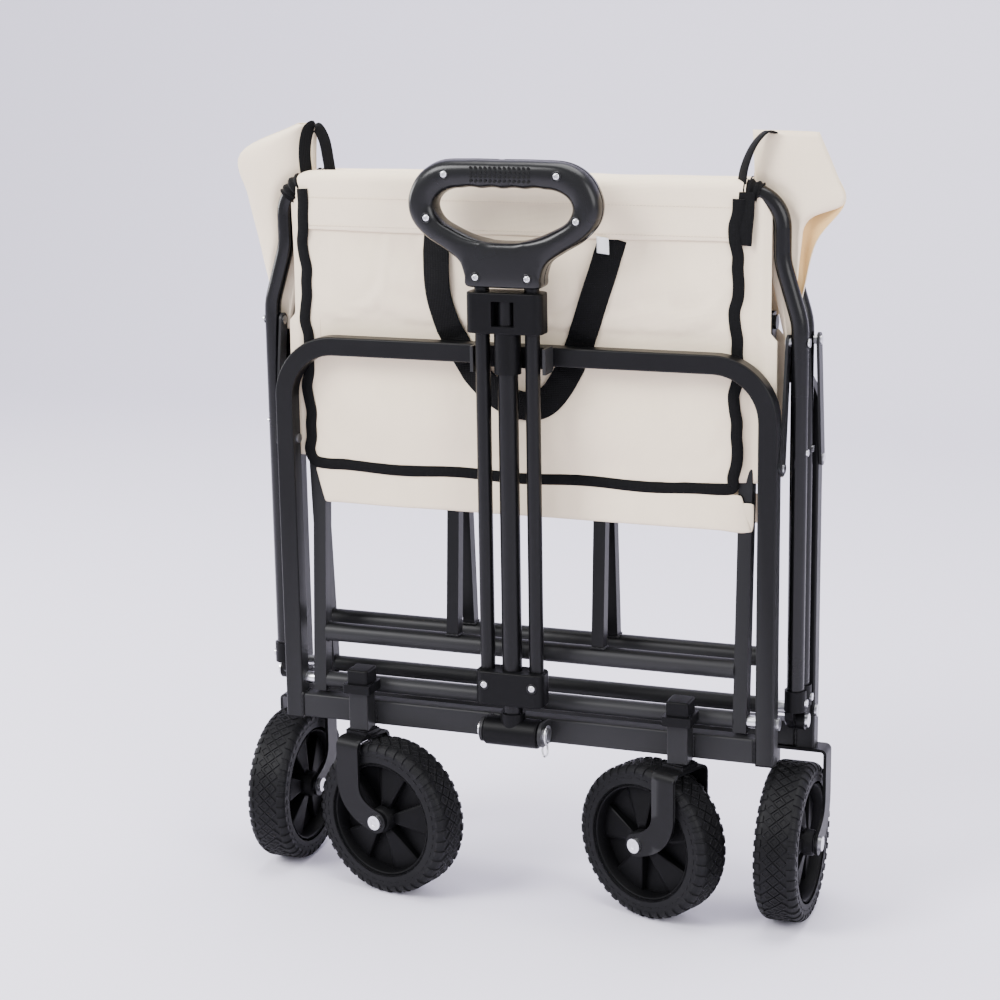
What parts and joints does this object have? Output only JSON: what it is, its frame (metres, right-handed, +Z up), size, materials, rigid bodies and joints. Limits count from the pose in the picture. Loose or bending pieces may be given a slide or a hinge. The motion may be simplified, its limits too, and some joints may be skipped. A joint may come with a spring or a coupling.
{
  "type": "folding beach cart",
  "caption": "Folding four-wheel beach wagon, stored folded and standing on its wheels, with a fabric bag, swivel front wheels and a telescoping pull handle.",
  "frame": {"origin": "on the ground under the middle of the folded wagon's bounding box", "axes": "+Z up from the ground, +X across the wagon to the right as seen from the handle side, -Y towards the handle side"},
  "size_m": [0.6, 0.1673, 0.744],
  "materials": {
    "frame_paint": "satin black powder coat",
    "hoop_paint": "semi-gloss black paint on round tube",
    "zinc": "zinc-plated steel",
    "black_steel": "black oxide bolts",
    "tyre_rubber": "matt black rubber with moulded tread",
    "hub_plastic": "moulded black plastic",
    "cap_plastic": "moulded black plastic, fine grain",
    "grip_plastic": "satin black plastic with a dotted grip",
    "handle_paint": "satin black paint",
    "canvas": "cream woven polyester",
    "binding": "black ribbed binding tape",
    "webbing": "black woven webbing"
  },
  "bodies": {
    "front_frame": {"front_frame_hoop": "frame_paint", "front_crossbar": "frame_paint", "front_frame_bolts": "zinc", "caster_posts": "frame_paint", "post_caps": "cap_plastic", "handle_clevis": "frame_paint", "stem_clip": "frame_paint"},
    "caster_left": {"caster_fork_left": "frame_paint", "caster_pins_left": "zinc"},
    "caster_wheel_left": {"caster_tyre_left": "tyre_rubber", "caster_hub_left": "hub_plastic"},
    "caster_right": {"caster_fork_right": "frame_paint", "caster_pins_right": "zinc"},
    "caster_wheel_right": {"caster_tyre_right": "tyre_rubber", "caster_hub_right": "hub_plastic"},
    "handle_stem": {"pivot_barrel": "cap_plastic", "stem_tube": "handle_paint", "guide_collar": "cap_plastic"},
    "handle_slider": {"slider_tubes": "handle_paint", "slider_yoke": "cap_plastic", "grip_front_shell": "grip_plastic", "grip_back_shell": "grip_plastic", "slider_screws": "zinc"},
    "front_links": {"front_swing_links": "frame_paint", "front_link_rivets": "zinc"},
    "tall_front": {"front_tall_hoop": "hoop_paint", "front_foot_caps": "cap_plastic", "front_hoop_screws": "zinc"},
    "bag_front": {"front_bag_panel": "canvas", "front_bag_binding": "binding", "webbing_loop": "webbing"},
    "side_left_mid": {"side_panel_left_front": "canvas"},
    "side_left_back": {"side_panel_left_rear": "canvas"},
    "side_right_mid": {"side_panel_right_front": "canvas"},
    "side_right_back": {"side_panel_right_rear": "canvas"},
    "tall_rear": {"rear_tall_hoop": "hoop_paint", "rear_foot_caps": "cap_plastic", "rear_hoop_screws": "zinc"},
    "bag_rear": {"rear_bag_panel": "canvas", "rear_bag_binding": "binding"},
    "rear_links": {"rear_swing_links": "frame_paint", "rear_link_rivets": "zinc"},
    "rear_frame": {"rear_frame_hoop": "frame_paint", "rear_crossbar": "frame_paint", "rear_frame_bolts": "zinc", "rear_forks": "frame_paint", "rear_axles": "zinc"},
    "rear_wheel_left": {"rear_tyre_left": "tyre_rubber", "rear_hub_left": "hub_plastic"},
    "rear_wheel_right": {"rear_tyre_right": "tyre_rubber", "rear_hub_right": "hub_plastic"},
    "floor_front": {"front_floor_arms": "frame_paint", "front_floor_tubes": "frame_paint", "front_floor_hinge_bolts": "black_steel"},
    "floor_rear": {"rear_floor_arms": "frame_paint", "rear_floor_tubes": "frame_paint", "rear_floor_hinge_bolts": "black_steel"},
    "floor_mat_front": {"front_floor_mat": "canvas"},
    "floor_mat_rear": {"rear_floor_mat": "canvas"}
  },
  "joints": [
    {"name": "caster_swivel_left", "type": "hinge", "parent": "front_frame", "child": "caster_left", "pos_m": [-0.162, -0.0385, 0.158], "axis": [0, 0, 1], "range_deg": [-130, 130]},
    {"name": "caster_spin_left", "type": "hinge", "parent": "caster_left", "child": "caster_wheel_left", "pos_m": [-0.12998, -0.04648, 0.076], "axis": [0.2419, 0.9703, 0], "continuous": true},
    {"name": "caster_swivel_right", "type": "hinge", "parent": "front_frame", "child": "caster_right", "pos_m": [0.162, -0.0385, 0.158], "axis": [0, 0, 1], "range_deg": [-90, 165]},
    {"name": "caster_spin_right", "type": "hinge", "parent": "caster_right", "child": "caster_wheel_right", "pos_m": [0.1314, -0.02614, 0.076], "axis": [-0.3746, -0.9272, 0], "continuous": true},
    {"name": "handle_tilt", "type": "hinge", "parent": "front_frame", "child": "handle_stem", "pos_m": [0, -0.0495, 0.176], "axis": [1, 0, 0], "range_deg": [0, 95]},
    {"name": "handle_extend", "type": "slide", "parent": "handle_stem", "child": "handle_slider", "axis": [0, 0, 1], "range_m": [0, 0.28]},
    {"name": "fold", "type": "hinge", "parent": "front_frame", "child": "front_links", "pos_m": [0, -0.0165, 0.442], "axis": [-1, 0, 0], "range_deg": [0, 81.2]},
    {"name": "tall_front_turn", "type": "hinge", "parent": "front_links", "child": "tall_front", "pos_m": [0, 0.001, 0.555], "axis": [1, 0, 0], "range_deg": [0, 126.31]},
    {"name": "bag_front_hang", "type": "hinge", "parent": "tall_front", "child": "bag_front", "pos_m": [0, 0.001, 0.69], "axis": [-1, 0, 0], "range_deg": [0, 45.11]},
    {"name": "side_left_front_slide", "type": "slide", "parent": "bag_front", "child": "side_left_mid", "axis": [0.2248, 0.9744, 0], "range_m": [0, 0.3561], "deforming": ["side_panel_left_front"]},
    {"name": "side_left_back_slide", "type": "slide", "parent": "side_left_mid", "child": "side_left_back", "axis": [-0.2248, 0.9744, 0], "range_m": [0, 0.3561], "deforming": ["side_panel_left_rear"]},
    {"name": "side_right_front_slide", "type": "slide", "parent": "bag_front", "child": "side_right_mid", "axis": [-0.2248, 0.9744, 0], "range_m": [0, 0.3561], "deforming": ["side_panel_right_front"]},
    {"name": "side_right_back_slide", "type": "slide", "parent": "side_right_mid", "child": "side_right_back", "axis": [0.2248, 0.9744, 0], "range_m": [0, 0.3561], "deforming": ["side_panel_right_rear"]},
    {"name": "tall_rear_turn", "type": "hinge", "parent": "tall_front", "child": "tall_rear", "pos_m": [0, 0.0115, 0.196], "axis": [-1, 0, 0], "range_deg": [0, 90.21]},
    {"name": "bag_rear_hang", "type": "hinge", "parent": "tall_rear", "child": "bag_rear", "pos_m": [0, 0.022, 0.69], "axis": [1, 0, 0], "range_deg": [0, 45.11]},
    {"name": "rear_link_turn", "type": "hinge", "parent": "tall_rear", "child": "rear_links", "pos_m": [0, 0.022, 0.555], "axis": [1, 0, 0], "range_deg": [0, 126.31]},
    {"name": "rear_frame_turn", "type": "hinge", "parent": "rear_links", "child": "rear_frame", "pos_m": [0, 0.0395, 0.442], "axis": [-1, 0, 0], "range_deg": [0, 81.22]},
    {"name": "rear_spin_left", "type": "hinge", "parent": "rear_frame", "child": "rear_wheel_left", "pos_m": [-0.259, 0.0085, 0.076], "axis": [1, 0, 0], "continuous": true},
    {"name": "rear_spin_right", "type": "hinge", "parent": "rear_frame", "child": "rear_wheel_right", "pos_m": [0.259, 0.0085, 0.076], "axis": [1, 0, 0], "continuous": true},
    {"name": "floor_front_turn", "type": "hinge", "parent": "front_frame", "child": "floor_front", "pos_m": [0, -0.0145, 0.198], "axis": [-1, 0, 0], "range_deg": [0, 86.03]},
    {"name": "floor_rear_turn", "type": "hinge", "parent": "rear_frame", "child": "floor_rear", "pos_m": [0, 0.0375, 0.198], "axis": [1, 0, 0], "range_deg": [0, 86.03]},
    {"name": "mat_front_slide", "type": "slide", "parent": "floor_front", "child": "floor_mat_front", "axis": [0, -0.0695, -0.9976], "range_m": [0, 0.1702], "deforming": ["front_floor_mat"]},
    {"name": "mat_rear_slide", "type": "slide", "parent": "floor_rear", "child": "floor_mat_rear", "axis": [0, 0.0695, -0.9976], "range_m": [0, 0.1702], "deforming": ["rear_floor_mat"]}
  ],
  "couplings": [
    {"joint": "tall_front_turn", "follows": "fold", "ratio": 1.5554},
    {"joint": "bag_front_hang", "follows": "fold", "ratio": 0.55536},
    {"joint": "side_left_front_slide", "follows": "fold", "m_per_rad": 0.25114},
    {"joint": "side_left_back_slide", "follows": "fold", "m_per_rad": 0.25114},
    {"joint": "side_right_front_slide", "follows": "fold", "m_per_rad": 0.25114},
    {"joint": "side_right_back_slide", "follows": "fold", "m_per_rad": 0.25114},
    {"joint": "tall_rear_turn", "follows": "fold", "ratio": 1.1107},
    {"joint": "bag_rear_hang", "follows": "fold", "ratio": 0.55536},
    {"joint": "rear_link_turn", "follows": "fold", "ratio": 1.5554},
    {"joint": "rear_frame_turn", "follows": "fold", "ratio": 1},
    {"joint": "floor_front_turn", "follows": "fold", "ratio": 1.0593},
    {"joint": "floor_rear_turn", "follows": "fold", "ratio": 1.0593},
    {"joint": "mat_front_slide", "follows": "fold", "m_per_rad": 0.11996},
    {"joint": "mat_rear_slide", "follows": "fold", "m_per_rad": 0.11996}
  ]
}
